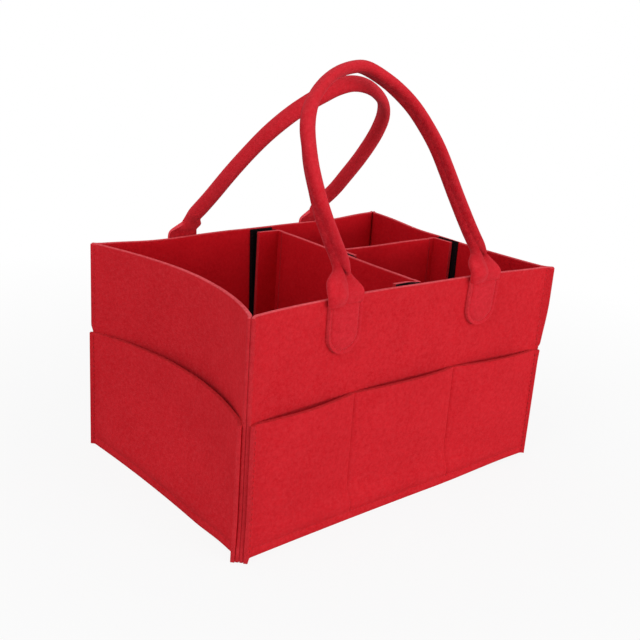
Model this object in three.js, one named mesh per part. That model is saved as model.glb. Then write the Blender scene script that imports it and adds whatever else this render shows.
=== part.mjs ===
// A felt caddy with four outer pockets, two rolled carrying handles and two removable dividers.
// Lengths are in millimetres. X runs along the long walls, Y across the caddy and Z up from its base.
import * as THREE from "three";

// Felt, hook-and-loop tape and the space between pieces that lie on each other
const feltThickness = 3;
const tapeThickness = 1.2;
const tapeWidth = 25;
const clearance = 0.3;

// Walls. A root is where two walls part at a corner seam, and a bow is how far a wall curves inwards
// at its middle: at its foot, behind its pocket and at its rim.
const rimHeight = 180;
const rootLength = 308;
const rootWidth = 217;
const frontWallBows = { foot: 2, pocket: 9, rim: 6 };
const backWallBows = { foot: 2, pocket: 6.4, rim: 2.5 };
const rightWallBows = { foot: 1, pocket: 3, rim: 3 };
const leftWallBows = { foot: 3.5, pocket: 24.7, rim: 21 };
const settleHeight = 20; // above the bottom panel, over which the stiffer walls reach their bow
const leftSettleHeight = 70;
const creaseRadius = 1; // inside radius of the outermost felt where it turns into a corner seam
const seamAllowance = 1.75; // flat felt beyond that turn

// Bottom panel
const panelHeight = 13;
const panelCornerRadius = 12;

// Handles and the tabs that they end in
const stripWidth = 32;
const tabSpacing = 147;
const tabDrop = 42.5;
const tabRise = 3;
const neckLength = 28; // over which the flat strip rolls up into a tube
const lipGap = 0.6; // between the two edges of the rolled strip
const frontHandleRise = 175;
const frontHandleSetback = 16; // from the caddy's middle plane to the top of the leaning front handle
const backHandleRise = 176;
const backHandleReach = 5.5; // how far the back handle's top leans past that plane

// Pockets
const hemHeight = 6;
const pocketBelowTab = 34.5;
const middleCellWidth = 110;
const cellSlack = 6.5; // how far a long pocket stands off its wall at the middle of a cell
const endSlack = 6; // and how far an end pocket does
const slackHeight = 40; // above the hem, over which it opens that far

// Dividers
const dividerDrop = 2;
const crossDividerBackX = 24;
const crossDividerFrontX = 15.6;
const longDividerY = 13;
const crossFlapWidth = 22;
const longFlapWidth = 20;
const tapeInset = 2.5; // from a divider's middle plane to the near edge of the tape that holds it
const tapeDrop = 1; // from the rim to the top of the loop tape

// Steps in the faceted surfaces
const seamSteps = 4;
const wallSteps = 12;
const rimRows = 2; // above the pockets
const settleRows = 2; // over the settling height of the stiffer walls
const cellSteps = 4;
const leftWallRows = 4; // over its settling height
const panelSideSteps = 6;
const panelCornerSteps = 4;
const tabSteps = 8;
const stripSteps = 10;
const neckSteps = 5;
const archSteps = 22;
const coreSides = 8;

// How much more a wall curves towards its left end than its right at the rim, seen from outside
const frontSkewShare = 0.9;
const backSkewShare = -0.6;
const rightSkewShare = 0.6;
const leftSkewShare = -0.1;

// The middle line of each handle as shares of its half span and of its rise, from left to right
const frontHandleShares = [
  [-1, 0],
  [-0.99, 0.12],
  [-1.01, 0.22],
  [-1.03, 0.34],
  [-1.02, 0.48],
  [-0.98, 0.6],
  [-0.9, 0.72],
  [-0.76, 0.82],
  [-0.54, 0.91],
  [-0.31, 0.97],
  [-0.07, 1],
  [0.12, 1],
  [0.32, 0.955],
  [0.5, 0.89],
  [0.64, 0.81],
  [0.74, 0.71],
  [0.81, 0.6],
  [0.84, 0.48],
  [0.86, 0.36],
  [0.9, 0.2],
  [0.95, 0.09],
  [1, 0],
];
const backHandleShares = [
  [-1, 0],
  [-1.08, 0.1],
  [-1.15, 0.2],
  [-1.17, 0.32],
  [-1.18, 0.45],
  [-1.16, 0.58],
  [-1.11, 0.69],
  [-1.02, 0.79],
  [-0.86, 0.88],
  [-0.62, 0.95],
  [-0.39, 0.99],
  [-0.17, 1],
  [0, 0.975],
  [0.13, 0.93],
  [0.27, 0.87],
  [0.41, 0.79],
  [0.54, 0.68],
  [0.64, 0.545],
  [0.73, 0.385],
  [0.81, 0.2],
  [0.89, 0.08],
  [1, 0],
];

const felt = new THREE.MeshStandardMaterial({ color: 0xc6242d, roughness: 0.95, metalness: 0 });
const tape = new THREE.MeshStandardMaterial({ color: 0x0e0b0c, roughness: 0.9, metalness: 0 });
const cotton = new THREE.MeshStandardMaterial({ color: 0xd8cfc0, roughness: 0.9, metalness: 0 });

const caddy = new THREE.Group();
const up = new THREE.Vector3(0, 0, 1);

function add(name, geometry, material) {
  const mesh = new THREE.Mesh(geometry, material);
  mesh.name = name;
  caddy.add(mesh);
}

function spread(from, to, steps) {
  return Array.from({ length: steps + 1 }, (_, i) => from + ((to - from) * i) / steps);
}

function smooth(value) {
  const share = THREE.MathUtils.clamp(value, 0, 1);
  return share * share * (3 - 2 * share);
}

function closedGeometry(points, quads) {
  const geometry = new THREE.BufferGeometry().setFromPoints(points);
  geometry.setIndex(quads.flatMap(([a, b, c, d]) => [a, b, c, a, c, d]));
  geometry.computeVertexNormals();
  return geometry;
}

// A sheet with an inner face (layer 0) and an outer face (layer 1). Columns run to the right and rows run
// up when it is seen from its outer side, and point(column, row, layer) gives each corner.
function sheet(columns, rows, point) {
  const points = [0, 1].flatMap((layer) =>
    columns.flatMap((column) => rows.map((row) => point(column, row, layer))),
  );
  const at = (layer, i, j) => (layer * columns.length + i) * rows.length + j;
  const quads = [];
  const lastColumn = columns.length - 1;
  const lastRow = rows.length - 1;
  for (let i = 0; i < lastColumn; i++) {
    for (let j = 0; j < lastRow; j++) {
      quads.push([at(1, i, j), at(1, i + 1, j), at(1, i + 1, j + 1), at(1, i, j + 1)]);
      quads.push([at(0, i, j), at(0, i, j + 1), at(0, i + 1, j + 1), at(0, i + 1, j)]);
    }
    quads.push([at(0, i, 0), at(0, i + 1, 0), at(1, i + 1, 0), at(1, i, 0)]);
    quads.push([at(0, i, lastRow), at(1, i, lastRow), at(1, i + 1, lastRow), at(0, i + 1, lastRow)]);
  }
  for (let j = 0; j < lastRow; j++) {
    quads.push([at(0, 0, j), at(1, 0, j), at(1, 0, j + 1), at(0, 0, j + 1)]);
    quads.push([
      at(0, lastColumn, j),
      at(0, lastColumn, j + 1),
      at(1, lastColumn, j + 1),
      at(1, lastColumn, j),
    ]);
  }
  return closedGeometry(points, quads);
}

// How deep the felt lies at each layer, from the surface in which two walls meet
const wallDepth = clearance / 2;
const outerDepth = wallDepth + feltThickness + clearance; // a pocket's or a tab's inner face
const bendRadius = outerDepth + feltThickness + creaseRadius;
const bendReach = bendRadius / 2;
const tipReach = bendReach + seamAllowance * Math.SQRT1_2;

// Each wall by the quarter turns that carry the front wall to it. Along is half its length between the
// roots, and out is how far the roots lie from the middle of the caddy.
const halfLength = rootLength / 2;
const halfWidth = rootWidth / 2;
const pocketHeight = rimHeight - tabDrop - pocketBelowTab;
const stiff = {
  settle: settleHeight,
  rows: [
    ...spread(panelHeight, panelHeight + settleHeight, settleRows),
    hemHeight + slackHeight,
    pocketHeight,
  ],
};
const slack = {
  settle: leftSettleHeight,
  rows: [...spread(panelHeight, panelHeight + leftSettleHeight, leftWallRows), pocketHeight],
};
const longSide = { along: halfLength, out: halfWidth };
const shortSide = { along: halfWidth, out: halfLength };
const walls = {
  front: { ...longSide, ...stiff, turns: 0, bows: frontWallBows, skew: frontSkewShare },
  right: { ...shortSide, ...stiff, turns: 1, bows: rightWallBows, skew: rightSkewShare },
  back: { ...longSide, ...stiff, turns: 2, bows: backWallBows, skew: backSkewShare },
  left: { ...shortSide, ...slack, turns: 3, bows: leftWallBows, skew: leftSkewShare },
};

function placed(wall, u, w, z) {
  return new THREE.Vector3(u, -w, z).applyAxisAngle(up, (wall.turns * Math.PI) / 2);
}

// How far out the wall's seam surface lies at u along it and z up it, and how fast that changes along it.
// Between the roots the wall is bowed, beyond them it runs out at 45 degrees into the corner seams, and a
// round bend joins the two.
function bowed(wall, u, z) {
  const settled = THREE.MathUtils.clamp((z - panelHeight) / wall.settle, 0, 1);
  const upper = THREE.MathUtils.clamp((z - pocketHeight) / (rimHeight - pocketHeight), 0, 1);
  const { foot, pocket, rim } = wall.bows;
  const bow = foot + (pocket - foot) * (1 - (1 - settled) ** 2) + (rim - pocket) * upper;
  const lean = rim * wall.skew * upper;
  const end = Math.sign(u);
  const share = u / wall.along;
  const curved = wall.out - (1 - share ** 2) * (bow - lean * share);
  const curvedSlope = (2 * share * (bow - lean * share) + lean * (1 - share ** 2)) / wall.along;
  const seam = wall.out + Math.abs(u) - wall.along;
  const rootSlope = (2 * (bow - lean * end)) / wall.along;
  const blend = ((1 - rootSlope) ** 2 * bendRadius) / 2;
  const turned = THREE.MathUtils.clamp((seam - curved + blend) / (2 * blend), 0, 1);
  const inBend = turned > 0 && turned < 1;
  const out = inBend ? curved + blend * turned ** 2 : Math.max(curved, seam);
  return { out, slope: curvedSlope + (end - curvedSlope) * turned };
}

function wallPoint(wall, u, z, depth) {
  const { out, slope } = bowed(wall, u, z);
  const length = Math.hypot(1, slope);
  return placed(wall, u - (slope * depth) / length, out + depth / length, z);
}

// A point plumb above or below the part of the wall that reaches furthest in
function plumbPoint(wall, u, z, depth) {
  return wallPoint(wall, u, pocketHeight, depth).setZ(z);
}

function seamColumns(wall, middle) {
  const tip = wall.along + tipReach;
  const edge = wall.along - bendReach;
  return [
    ...spread(-tip, -edge, seamSteps).slice(0, -1),
    ...middle(edge),
    ...spread(edge, tip, seamSteps).slice(1),
  ];
}

function addWall(name, wall) {
  const columns = seamColumns(wall, (edge) => spread(-edge, edge, wallSteps));
  const rows = [0, ...wall.rows, ...spread(pocketHeight, rimHeight, rimRows).slice(1)];
  const point = (u, z, layer) => wallPoint(wall, u, z, wallDepth + layer * feltThickness);
  add(name, sheet(columns, rows, point), felt);
}

// A pocket is sewn down at its hem, in the corner seams and between its cells, and bulges in each cell.
function addPocket(name, wall, divisions, bulge, steps) {
  const edge = wall.along - bendReach;
  const stops = [-edge, ...divisions, edge];
  const columns = seamColumns(wall, () => [
    -edge,
    ...stops.slice(1).flatMap((stop, i) => spread(stops[i], stop, steps).slice(1)),
  ]);
  const standOff = (u, z) => {
    const cell = stops.findIndex((stop, i) => i > 0 && u <= stop);
    if (u <= -edge || cell < 0) return 0;
    const across = (u - stops[cell - 1]) / (stops[cell] - stops[cell - 1]);
    const closed = 1 - THREE.MathUtils.clamp((z - hemHeight) / slackHeight, 0, 1);
    return bulge * 4 * across * (1 - across) * (1 - closed ** 2);
  };
  const rows = [0, hemHeight, ...wall.rows];
  const point = (u, z, layer) =>
    wallPoint(wall, u, z, outerDepth + standOff(u, z) + layer * feltThickness);
  add(name, sheet(columns, rows, point), felt);
}

for (const [side, wall] of Object.entries(walls)) addWall(side + "_wall", wall);
const cellDivisions = [-middleCellWidth / 2, middleCellWidth / 2];
addPocket("front_pocket", walls.front, cellDivisions, cellSlack, cellSteps);
addPocket("right_pocket", walls.right, [], endSlack, wallSteps);
addPocket("back_pocket", walls.back, cellDivisions, cellSlack, cellSteps);
addPocket("left_pocket", walls.left, [], endSlack, wallSteps);

// The bottom panel's outline at a depth inside the walls, anticlockwise from the front left corner
function panelOutline(depth, z) {
  const order = [walls.front, walls.right, walls.back, walls.left];
  const runs = order.map((wall) => {
    const end = wall.along - panelCornerRadius;
    return spread(-end, end, panelSideSteps).map((u) => wallPoint(wall, u, 0, -depth).setZ(z));
  });
  return runs.flatMap((run, i) => {
    const from = run[run.length - 1];
    const to = runs[(i + 1) % runs.length][0];
    const furthest = (a, b) => (Math.abs(a) > Math.abs(b) ? a : b);
    const corner = new THREE.Vector3(furthest(from.x, to.x), furthest(from.y, to.y), z);
    const bend = new THREE.QuadraticBezierCurve3(from, corner, to).getPoints(panelCornerSteps);
    return [...run.slice(0, -1), ...bend.slice(0, -1)];
  });
}

// The bottom panel: a plate with its edge turned down inside the walls
function addBottomPanel() {
  const outside = clearance - wallDepth;
  const inside = outside + feltThickness;
  const rings = [
    panelOutline(inside, panelHeight - feltThickness),
    panelOutline(inside, 0),
    panelOutline(outside, 0),
    panelOutline(outside, panelHeight),
    panelOutline(inside, panelHeight), // the level top begins inside the turned-down edge
  ];
  const count = rings[0].length;
  const points = [
    ...rings.flat(),
    new THREE.Vector3(0, 0, panelHeight - feltThickness),
    new THREE.Vector3(0, 0, panelHeight),
  ];
  const underside = points.length - 2;
  const top = points.length - 1;
  const quads = [];
  for (let i = 0; i < count; i++) {
    const next = (i + 1) % count;
    for (let ring = 0; ring < rings.length - 1; ring++) {
      const low = ring * count;
      const high = low + count;
      quads.push([low + i, low + next, high + next, high + i]);
    }
  }
  const triangles = quads.flatMap(([a, b, c, d]) => [a, b, c, a, c, d]);
  const lastRing = (rings.length - 1) * count;
  for (let i = 0; i < count; i++) {
    const next = (i + 1) % count;
    triangles.push(underside, next, i);
    triangles.push(top, lastRing + i, lastRing + next);
  }
  const geometry = new THREE.BufferGeometry().setFromPoints(points).setIndex(triangles);
  geometry.computeVertexNormals();
  add("bottom_panel", geometry, felt);
}

addBottomPanel();

// A handle tab: the flat end of a handle strip on the outer face of its wall, round at its lower end
function addTab(name, wall, middle) {
  const radius = stripWidth / 2;
  const roundStart = rimHeight - tabDrop + radius;
  const top = rimHeight + tabRise;
  const point = (angle, share, layer) => {
    const u = middle + radius * Math.sin(angle);
    const bottom = roundStart - radius * Math.cos(angle);
    return wallPoint(wall, u, bottom + (top - bottom) * share, outerDepth + layer * feltThickness);
  };
  add(name, sheet(spread(-Math.PI / 2, Math.PI / 2, tabSteps), [0, 1], point), felt);
}

for (const side of ["front", "back"]) {
  const leftward = side === "front" ? -tabSpacing / 2 : tabSpacing / 2;
  addTab(side + "_handle_left_tab", walls[side], leftward);
  addTab(side + "_handle_right_tab", walls[side], -leftward);
}

// The stations of a handle: where the strip's middle line is, the way across the strip, the way in
// which it rolls up, and how far it has rolled up there. Each foot stands on its own tab.
const tubeRadius = (stripWidth + lipGap) / (2 * Math.PI);

function handleStations(wall, rise, setback, shares) {
  const halfSpan = tabSpacing / 2;
  const baseHeight = rimHeight + tabRise + clearance;
  const [leftOut, rightOut] = [-halfSpan, halfSpan].map(
    (u) => bowed(wall, u, rimHeight).out + outerDepth + feltThickness / 2,
  );
  const lean = Math.asin(((leftOut + rightOut) / 2 - setback) / rise);
  const line = new THREE.CatmullRomCurve3(
    shares.map(([along, high]) => new THREE.Vector3(along * halfSpan, high * rise, 0)),
  );
  const length = line.getLength();
  const distances = [
    ...spread(0, neckLength, neckSteps),
    ...spread(neckLength, length - neckLength, archSteps).slice(1),
    ...spread(length - neckLength, length, neckSteps).slice(1),
  ];
  return distances.map((distance) => {
    const fromFoot = Math.min(distance, length - distance);
    const rolled = smooth(fromFoot / neckLength);
    const { x: u, y: high } = line.getPointAt(distance / length);
    const plumb = new THREE.Vector3(0, distance < length / 2 ? 1 : -1, 0);
    const heading = plumb.lerp(line.getTangentAt(distance / length), rolled).normalize();
    const tilt = lean * rolled;
    const baseOut = THREE.MathUtils.lerp(leftOut, rightOut, (u + halfSpan) / (2 * halfSpan));
    const middle = placed(wall, u, baseOut - high * Math.sin(lean), baseHeight + high * Math.cos(lean));
    const across = placed(wall, heading.y, heading.x * Math.sin(lean), -heading.x * Math.cos(lean));
    const inwards = placed(wall, 0, Math.cos(tilt), Math.sin(tilt));
    return { middle, across, inwards, rolled };
  });
}

// A point of a section through a rolled strip, by its distance along the strip's width and its offset
// from the strip's middle surface towards the middle of the tube
function stripPoint(station, along, offset) {
  const turn = (along * station.rolled) / tubeRadius;
  const radius = tubeRadius / Math.max(station.rolled, Number.EPSILON);
  const side = station.rolled > 0 ? radius * Math.sin(turn) : along;
  const depth = station.rolled > 0 ? radius * (1 - Math.cos(turn)) : 0;
  return station.middle
    .clone()
    .addScaledVector(station.across, side - offset * Math.sin(turn))
    .addScaledVector(station.inwards, depth + offset * Math.cos(turn));
}

function addHandle(side, rise, setback, shares) {
  const stations = handleStations(walls[side], rise, setback, shares);
  const widths = spread(-stripWidth / 2, stripWidth / 2, stripSteps);
  const cover = sheet(widths, stations, (along, station, layer) =>
    stripPoint(station, along, (layer - 1 / 2) * feltThickness),
  );
  add(side + "_handle_cover", cover, felt);

  const coreRadius = tubeRadius - feltThickness / 2 - clearance;
  const rings = stations.slice(neckSteps, -neckSteps);
  const middleOf = (station) =>
    station.middle.clone().addScaledVector(station.inwards, tubeRadius);
  const points = rings.flatMap((station) =>
    Array.from({ length: coreSides }, (_, i) => {
      const angle = (2 * Math.PI * i) / coreSides;
      return middleOf(station)
        .addScaledVector(station.across, coreRadius * Math.cos(angle))
        .addScaledVector(station.inwards, coreRadius * Math.sin(angle));
    }),
  );
  const first = points.length;
  const last = first + 1;
  points.push(middleOf(rings[0]), middleOf(rings[rings.length - 1]));
  const triangles = [];
  for (let i = 0; i < coreSides; i++) {
    const next = (i + 1) % coreSides;
    for (let ring = 0; ring < rings.length - 1; ring++) {
      const low = ring * coreSides;
      const high = low + coreSides;
      triangles.push(low + i, high + next, low + next);
      triangles.push(low + i, high + i, high + next);
    }
    const lastRing = (rings.length - 1) * coreSides;
    triangles.push(first, i, next);
    triangles.push(last, lastRing + next, lastRing + i);
  }
  const core = new THREE.BufferGeometry().setFromPoints(points).setIndex(triangles);
  core.computeVertexNormals();
  add(side + "_handle_core", core, cotton);
}

addHandle("front", frontHandleRise, frontHandleSetback, frontHandleShares);
addHandle("back", backHandleRise, -backHandleReach, backHandleShares);

// Loop tape on a wall's inner face, between two places along it
function addWallTape(name, wall, from, to) {
  const lowest = panelHeight + clearance;
  const rows = [lowest, ...wall.rows.slice(1), rimHeight - tapeDrop];
  const faceDepth = clearance - wallDepth;
  const point = (u, z, layer) => wallPoint(wall, u, z, -faceDepth - (1 - layer) * tapeThickness);
  add(name, sheet([from, to], rows, point), tape);
}

const nearTape = tapeInset + tapeWidth;
addWallTape("front_loop_tape", walls.front, crossDividerFrontX - nearTape, crossDividerFrontX - tapeInset);
addWallTape("back_loop_tape", walls.back, tapeInset - crossDividerBackX, nearTape - crossDividerBackX);
addWallTape("right_loop_tape", walls.right, longDividerY - nearTape, longDividerY - tapeInset);

// Dividers. Each flap lies on the tape of its wall: loop tape, hook tape and then the flap.
const dividerFoot = panelHeight + clearance;
const dividerTop = rimHeight - dividerDrop;
const hookDepth = clearance - wallDepth + tapeThickness + clearance;
const flapDepth = hookDepth + tapeThickness + clearance;
const upright = [dividerFoot, dividerTop];

// A flap and its hook tape on a wall's inner side, between two places along the wall
function addWallFlap(flapName, hookName, wall, from, to) {
  const layers = [
    [flapName, flapDepth, feltThickness, felt],
    [hookName, hookDepth, tapeThickness, tape],
  ];
  for (const [name, depth, thickness, material] of layers) {
    const point = (u, z, layer) => plumbPoint(wall, u, z, -depth - (1 - layer) * thickness);
    add(name, sheet([from, to], upright, point), material);
  }
}

const halfFelt = feltThickness / 2;
const creaseReach = halfFelt + clearance; // from a divider's middle plane to its flaps' creases
addWallFlap(
  "cross_divider_front_flap",
  "cross_front_hook_tape",
  walls.front,
  crossDividerFrontX - creaseReach - crossFlapWidth,
  crossDividerFrontX - creaseReach,
);
addWallFlap(
  "cross_divider_back_flap",
  "cross_back_hook_tape",
  walls.back,
  creaseReach - crossDividerBackX,
  creaseReach + crossFlapWidth - crossDividerBackX,
);
addWallFlap(
  "long_divider_outer_flap",
  "long_outer_hook_tape",
  walls.right,
  longDividerY - creaseReach - longFlapWidth,
  longDividerY - creaseReach,
);

// The cross divider's panel ends at the creases of its flaps, and runs slightly askew between them.
const crossFrontY = plumbPoint(walls.front, crossDividerFrontX, 0, -flapDepth).y;
const crossBackY = plumbPoint(walls.back, -crossDividerBackX, 0, -flapDepth).y;

function crossDividerX(y) {
  const share = (y - crossFrontY) / (crossBackY - crossFrontY);
  return THREE.MathUtils.lerp(crossDividerFrontX, crossDividerBackX, share);
}

// A sheet against the cross divider's right-hand face, from one depth off its middle plane to another
function addAlongCross(name, from, to, inner, outer, material) {
  const point = (y, z, layer) =>
    new THREE.Vector3(crossDividerX(y) + THREE.MathUtils.lerp(inner, outer, layer), y, z);
  add(name, sheet([from, to], upright, point), material);
}

const crossLoopDepth = halfFelt + clearance;
const longHookDepth = crossLoopDepth + tapeThickness + clearance;
const longFlapDepth = longHookDepth + tapeThickness + clearance;
const longFlapFrom = longDividerY - creaseReach - longFlapWidth;
const longFlapTo = longDividerY - creaseReach;
addAlongCross("cross_divider_panel", crossFrontY, crossBackY, -halfFelt, halfFelt, felt);
addAlongCross(
  "cross_divider_loop_tape",
  longDividerY - nearTape,
  longDividerY - tapeInset,
  crossLoopDepth,
  crossLoopDepth + tapeThickness,
  tape,
);
addAlongCross(
  "long_inner_hook_tape",
  longFlapFrom,
  longFlapTo,
  longHookDepth,
  longHookDepth + tapeThickness,
  tape,
);
addAlongCross(
  "long_divider_inner_flap",
  longFlapFrom,
  longFlapTo,
  longFlapDepth,
  longFlapDepth + feltThickness,
  felt,
);

// The long divider's panel runs from the crease of its inner flap to the crease of its outer flap.
const longLeftX = crossDividerX(longDividerY) + longFlapDepth;
const longRightX = plumbPoint(walls.right, longDividerY, 0, -flapDepth).x;
const longPanel = new THREE.BoxGeometry(longRightX - longLeftX, feltThickness, dividerTop - dividerFoot);
longPanel.translate((longLeftX + longRightX) / 2, longDividerY, (dividerFoot + dividerTop) / 2);
add("long_divider_panel", longPanel, felt);

export default caddy;
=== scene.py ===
"""A red felt caddy with outer pockets, two rolled handles and removable dividers, sewn around its solids.

The solids say where each felt piece lies. Here every piece is a sheet of felt with its own thickness, cut
edges and stitches. Measures are in millimetres, and a point is turned into metres when it is placed.
"""
import math
from types import SimpleNamespace

import bmesh
import bpy
from mathutils import Matrix, Vector, noise


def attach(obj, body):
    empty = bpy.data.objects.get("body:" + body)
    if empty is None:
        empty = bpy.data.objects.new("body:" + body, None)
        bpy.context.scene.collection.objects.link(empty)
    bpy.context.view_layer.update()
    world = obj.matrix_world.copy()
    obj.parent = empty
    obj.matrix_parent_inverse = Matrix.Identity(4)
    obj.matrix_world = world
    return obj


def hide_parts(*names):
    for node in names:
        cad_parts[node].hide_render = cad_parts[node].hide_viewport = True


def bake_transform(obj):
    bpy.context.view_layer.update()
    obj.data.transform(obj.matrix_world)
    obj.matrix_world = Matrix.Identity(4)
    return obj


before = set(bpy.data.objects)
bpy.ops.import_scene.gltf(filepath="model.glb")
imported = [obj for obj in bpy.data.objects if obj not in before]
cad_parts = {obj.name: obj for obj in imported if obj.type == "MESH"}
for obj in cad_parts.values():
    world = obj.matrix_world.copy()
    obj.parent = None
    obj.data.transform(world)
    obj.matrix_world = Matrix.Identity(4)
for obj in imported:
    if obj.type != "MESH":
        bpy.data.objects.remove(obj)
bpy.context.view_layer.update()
MM = 0.001

# Felt, tape and the space between pieces that lie on each other. A sheet swells to its loft, and keeps a
# share of it in the corner seams: less above the pockets, where only two walls lie in them.
FELT = 3.0
FELT_LOFT = 3.32
PRESSED_LOFT = 0.93
NIPPED_LOFT = 0.8
TAPE = 1.2
TAPE_WIDTH = 25.0
GAP = 0.3
EDGE_SOFTNESS = 0.9
STRIP_SOFTNESS = 1.3
TAPE_SOFTNESS = 0.3

# The caddy's heights
RIM = 180.0
PANEL = 13.0
POCKET = 103.0
HEM = 6.0
TAB_FOOT = 137.5
TAB_CREASE = 175.5
TAB_TOP = 183.0
DIVIDER_FOOT = PANEL + GAP
DIVIDER_TOP = 178.0

# How deep the stitches pull the felt in along the hems, between the cells, at the creases and on the tabs,
# how wide those grooves are, and how the hem's edge rolls out below them
HEM_PULL, HEM_GROOVE = 0.8, 1.7
DIVISION_PULL, DIVISION_GROOVE = 1.1, 1.2
CREASE_PULL, CREASE_GROOVE = 1.1, 1.6
TAB_PULL, TAB_GROOVE = 1.1, 1.1
ROLL_PUSH, ROLL_HEIGHT, ROLL_WIDTH = 0.4, 2.4, 1.6

# Stitches: the usual ones, and how those in the corner seams, on the tabs and on the tapes differ
STITCH = {"length": 2.4, "width": 0.7, "pitch": 3.4, "height": 0.42}
SEAM_STITCH = STITCH | {"length": 2.8, "pitch": 4.2}
TAB_STITCH = STITCH | {"length": 2.3, "pitch": 3.2}
TAPE_STITCH = STITCH | {"width": 0.5, "height": 0.15}
STITCH_LIFT = 0.1
SEAM_STITCH_SHARE = 0.72

# Heights between which an effect sets in or fades
HEM_LIFT_ZONE = (0.0, 25.0)
RIM_DROP_ZONE = (120.0, RIM)
FOOT_FLARE_ZONE = (0.0, 35.0)
RIM_FLARE_ZONE = (90.0, 150.0)
RECESS_ZONE = (0.0, 20.0)
NIP_ZONE = (POCKET, POCKET + 6.0)
WALL_WAVE_ZONE = (0.0, 30.0)
RIM_WAVE_ZONE = (150.0, RIM)
DIVISION_ZONE = (0.0, 8.0)
POCKET_EDGE_ZONE = (80.0, POCKET)
DIVIDER_TOP_ZONE = (150.0, DIVIDER_TOP)
LEAN_ZONE = (120.0, 175.0)

# The felt's unevenness: the size of its waves and their depth
WALL_WAVE = (46, 0.5)
RIM_WAVE = (60, 0.5)
POCKET_WAVE = (34, 0.7)
POCKET_EDGE_WAVE = (42, 0.6)
DIVIDER_WAVE = (50, 0.5)
RIM_SHIFT = Vector((90, 0, 0))
POCKET_SHIFT = Vector((40, 20, 0))

# Pockets: half the middle cell, how far a cell stands off its wall, the height over which it opens, how far
# off the wall its felt starts to wave, and how much closer it lies in the corner seams
CELL = 55.0
CELL_SLACK = 5.4
END_SLACK = 6.0
SLACK_RISE = 40.0
LOOSE_ZONE = (0.4, 2.4)
SEWN_CLOSE = 0.3

# Corner seams: how far the tips stand out at the front's foot and rim, how far walls lie back in them, how
# far beside them the felt is held still, and by how much two walls press into each other
FOOT_FLARE = 3.0
RIM_FLARE = 2.4
RECESS = 1.2
STILL = 14.0
STILL_FADE = 10.0
SEAM_FADE = 1.5
HEM_FADE = 4.0
PRESS = 0.01

# A handle's strip: its tabs, its rows of faces, and the tube that it is rolled up into, whose seam dips in
STRIP = 32.0
TAB_MIDDLE = 73.5
ROW_STEP = 1.8
TAB_INSET = 2.8
NECK = 28.0
LIP_GAP = 0.2
LIP_REACH = 6.0
SEAM_DIP = 2.3
SHOULDER_SPREAD = 0.6
TUBE = (STRIP + LIP_GAP) / (2 * math.pi)
CORD_SQUEEZE = 1.3

# The columns across a handle's strip: the ear that folds over at a neck, its bend, and the rest
COLUMNS = 36
EAR_COLUMN = 10
TAB_COLUMN = 13
FOLD_COLUMN = 16
EAR = 9.0
EAR_SWELL = 4.6
EAR_HEIGHT = 34.0
EAR_PUFF = 2.2
EAR_DOWN = 1.1
EAR_BEND = 2.2
PRESSED_BEND = 1.6
EAR_OPEN = 6.0
PUFF_OPEN = 8.0
FOLD_EDGE = STRIP / 2 - EAR_BEND - FELT / 2

# How far above the crease the ear starts to roll up, and over what height the ear and the far side do
EAR_ROLL_START = 16.0
EAR_ROLL = 13.0
FAR_ROLL = 23.0

# Shares of a strip's length over which the painted shade beside its seam sets in, and that on the back of
# its feet ends
NECK_SHARES = (0.1, 0.15)
FOOT_SHARES = (0.096, 0.108)

# The bottom panel: its rounded corners, the border around its flat middle, how far in its flat top ends,
# and the rings of its turned-down edge, each by how much further in it lies and its height
PANEL_CORNER = 12.0
PANEL_BORDER = 8.0
PANEL_BEND = 1.6
PANEL_MIDDLE = PANEL - FELT / 2
PANEL_RINGS = ((0.5, PANEL_MIDDLE - 0.5), (0, PANEL_MIDDLE - 2), (0, 6), (0, 0.1))

# Dividers. The cross divider's front end stands a little higher, and its front flap leans off the wall.
CROSS_FRONT_X = 15.6
CROSS_BACK_X = 24.0
LONG_Y = 13.0
CROSS_FLAP = 22.0
LONG_FLAP = 20.0
TAPE_INSET = 2.5
CREASE = 1.8
TOP_DROP = 0.25
FRONT_LIFT = 0.4
FLAP_LEAN = 3.5

# How deep each layer lies, from the surface in which two walls meet, and how far their felt turns out and
# reaches into the corner seams
WALL_DEPTH = GAP / 2
OUTER_DEPTH = WALL_DEPTH + FELT + GAP
BEND_SPACE = 1.0
BEND = OUTER_DEPTH + FELT + BEND_SPACE
BEND_REACH = BEND / 2
SEAM_ALLOWANCE = 1.75
TIP_REACH = BEND_REACH + SEAM_ALLOWANCE * math.sqrt(0.5)
HOOK_DEPTH = GAP - WALL_DEPTH + TAPE + GAP
FLAP_DEPTH = HOOK_DEPTH + TAPE + GAP
OUTER_MIDDLE = OUTER_DEPTH + FELT / 2
OUTER_FACE = OUTER_DEPTH + FELT


def wall(turns, along, out, foot, pocket, rim, skew, settle=20.0):
    """One wall: quarter turns from the front, half length, distance out, and its bows from foot to rim."""
    return SimpleNamespace(
        turns=turns, along=along, out=out, foot=foot, pocket=pocket, rim=rim, skew=skew, settle=settle
    )


FRONT = wall(0, 154.0, 108.5, 2.0, 9.0, 6.0, 0.9)
RIGHT = wall(1, 108.5, 154.0, 1.0, 3.0, 3.0, 0.6)
BACK = wall(2, 154.0, 108.5, 2.0, 6.4, 2.5, -0.6)
LEFT = wall(3, 108.5, 154.0, 3.5, 24.7, 21.0, -0.1, settle=70.0)
WALLS = {"front": FRONT, "right": RIGHT, "back": BACK, "left": LEFT}

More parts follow.
